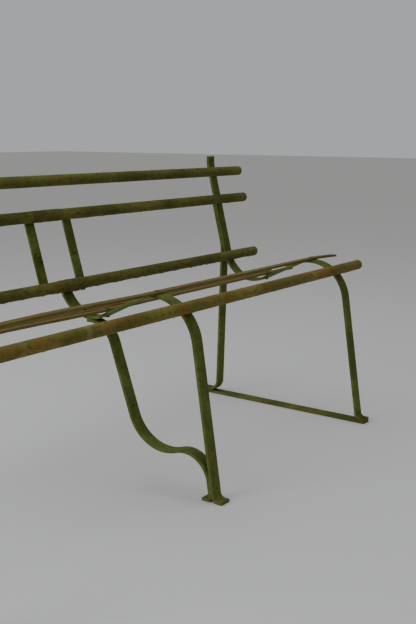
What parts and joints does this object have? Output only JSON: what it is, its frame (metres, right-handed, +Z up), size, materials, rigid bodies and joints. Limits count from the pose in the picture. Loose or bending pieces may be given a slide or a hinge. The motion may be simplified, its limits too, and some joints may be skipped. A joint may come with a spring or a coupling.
{
  "type": "garden bench",
  "caption": "Old iron garden bench: bent flat-bar frames carry round tube back and front rails and thin flat seat slats.",
  "frame": {"origin": "on the ground, under the middle of the bench", "axes": "+X along the rails to the sitter's left, +Y from the front edge to the back, +Z up"},
  "size_m": [1.76, 0.612, 0.776],
  "materials": {
    "frame_paint": "old olive green paint, matt, worn and specked with rust",
    "back_rail_paint": "old olive green paint, weathered and pitted, rust spots",
    "front_rail_paint": "olive brown paint worn through to rust in many specks",
    "joint_metal": "rough built-up iron with remains of paint",
    "slat_paint": "thin olive brown paint with long streaks of rust",
    "painted_rivets": "painted over, rusty at the rims",
    "rusty_screws": "brown rust"
  },
  "bodies": {
    "root": {"back_rail_top": "back_rail_paint", "back_rail_middle": "back_rail_paint", "back_rail_lower": "back_rail_paint", "front_rail": "front_rail_paint", "middle_rail_joint": "joint_metal", "lower_rail_joint": "joint_metal", "seat_slat_front": "slat_paint", "seat_slat_middle": "slat_paint", "seat_slat_rear": "slat_paint", "centre_strap": "frame_paint", "centre_brace": "frame_paint", "back_rail_screws": "rusty_screws", "front_rail_screws": "rusty_screws", "lost_rail_screws": "painted_rivets", "spare_strap_rivet": "painted_rivets", "slat_rivets": "painted_rivets", "back_leg_rivets": "painted_rivets", "foot_rivets": "painted_rivets", "brace_rivets": "painted_rivets", "left_end_strap": "frame_paint", "left_back_leg": "frame_paint", "left_floor_bar": "frame_paint", "right_end_strap": "frame_paint", "right_back_leg": "frame_paint", "right_floor_bar": "frame_paint", "left_short_strap": "frame_paint", "right_short_strap": "frame_paint"}
  },
  "joints": []
}
